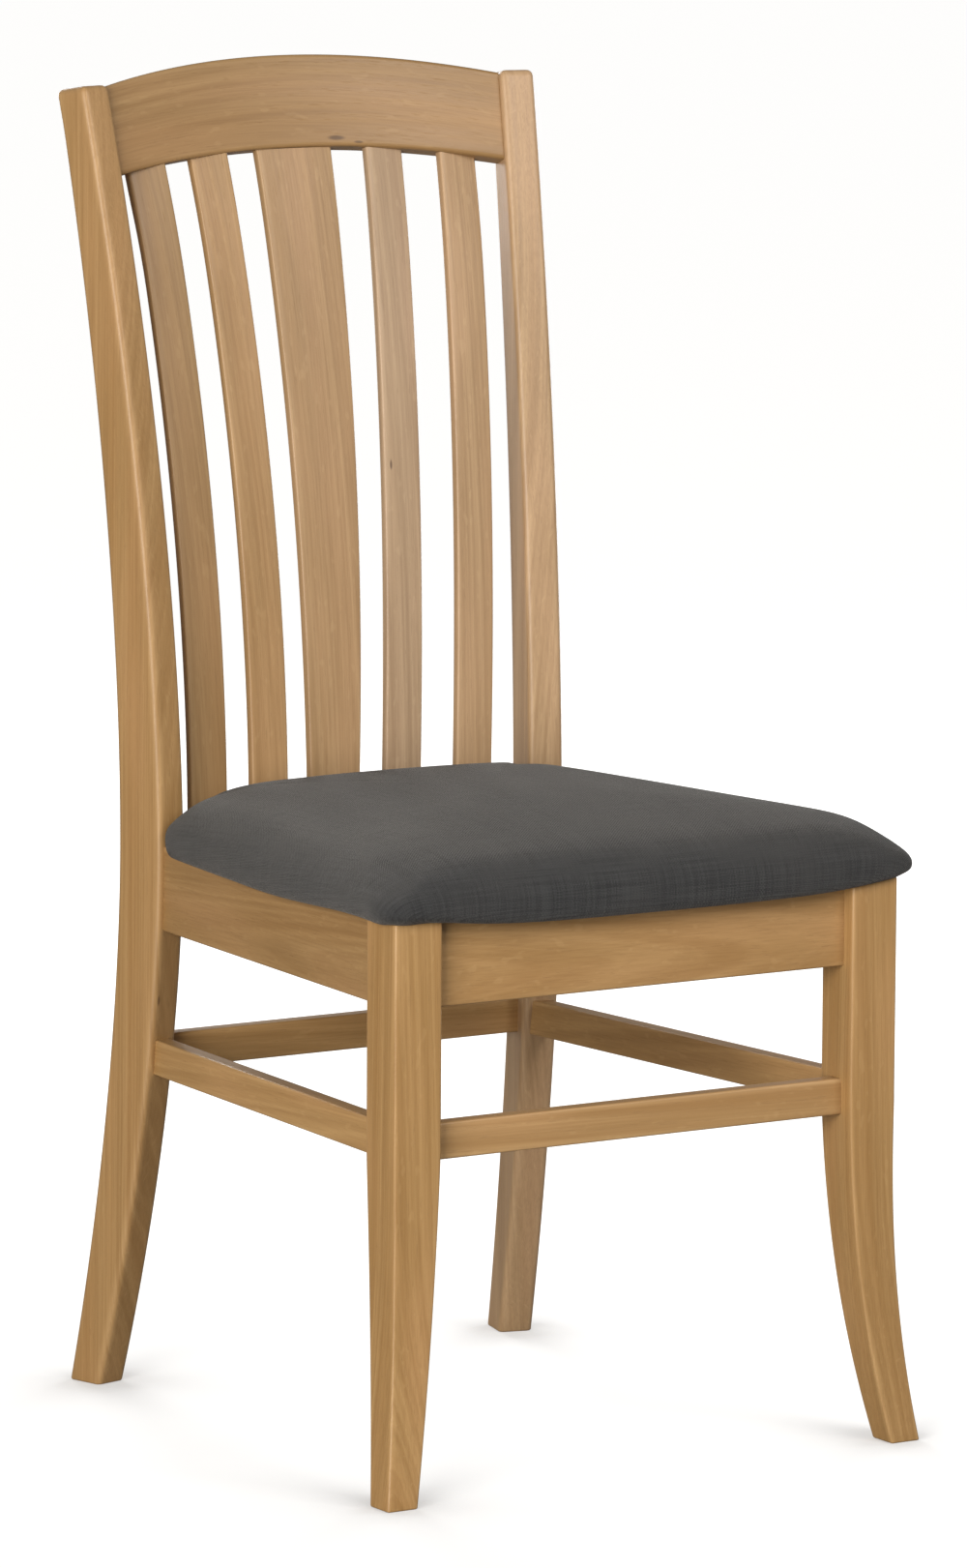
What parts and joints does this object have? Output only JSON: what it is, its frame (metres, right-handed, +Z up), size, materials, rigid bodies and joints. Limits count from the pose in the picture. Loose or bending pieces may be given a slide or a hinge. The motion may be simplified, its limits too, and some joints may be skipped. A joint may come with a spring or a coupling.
{
  "type": "dining chair",
  "caption": "Oak dining chair with swept legs, a high slatted back under an arched crest rail, box stretchers and a padded charcoal fabric seat",
  "frame": {"origin": "On the floor under the middle of the chair's footprint, at the bottom centre of its bounding box.", "axes": "+Z up, the front of the seat faces -Y, +X is the right-hand side for someone facing the front of the chair. Left in node names is the -X side."},
  "size_m": [0.49, 0.5834, 1.058],
  "materials": {
    "oak": "light honey oak, clear satin lacquer, straight grain along each piece",
    "block_wood": "unfinished sawn wood",
    "screw_steel": "zinc-plated steel",
    "plywood": "unfinished plywood",
    "foam": null,
    "seat_fabric": "matt charcoal grey woven upholstery fabric"
  },
  "bodies": {
    "root": {"front_leg_left": "oak", "front_leg_right": "oak", "rear_post_left": "oak", "rear_post_right": "oak", "crest_rail": "oak", "back_slat_1": "oak", "back_slat_2": "oak", "back_slat_3": "oak", "back_slat_4": "oak", "back_slat_5": "oak", "front_rail": "oak", "rear_rail": "oak", "side_rail_left": "oak", "side_rail_right": "oak", "front_stretcher": "oak", "rear_stretcher": "oak", "side_stretcher_left": "oak", "side_stretcher_right": "oak", "corner_block_front_left": "block_wood", "corner_block_front_right": "block_wood", "corner_block_rear_left": "block_wood", "corner_block_rear_right": "block_wood", "side_rail_screw_front_left": "screw_steel", "side_rail_screw_front_right": "screw_steel", "side_rail_screw_rear_left": "screw_steel", "side_rail_screw_rear_right": "screw_steel", "front_rail_screw_front_left": "screw_steel", "front_rail_screw_front_right": "screw_steel", "rear_rail_screw_rear_left": "screw_steel", "rear_rail_screw_rear_right": "screw_steel", "seat_screw_front_left": "screw_steel", "seat_screw_front_right": "screw_steel", "seat_screw_rear_left": "screw_steel", "seat_screw_rear_right": "screw_steel", "seat_board": "plywood", "seat_foam": "foam", "seat_cover": "seat_fabric"}
  },
  "joints": []
}
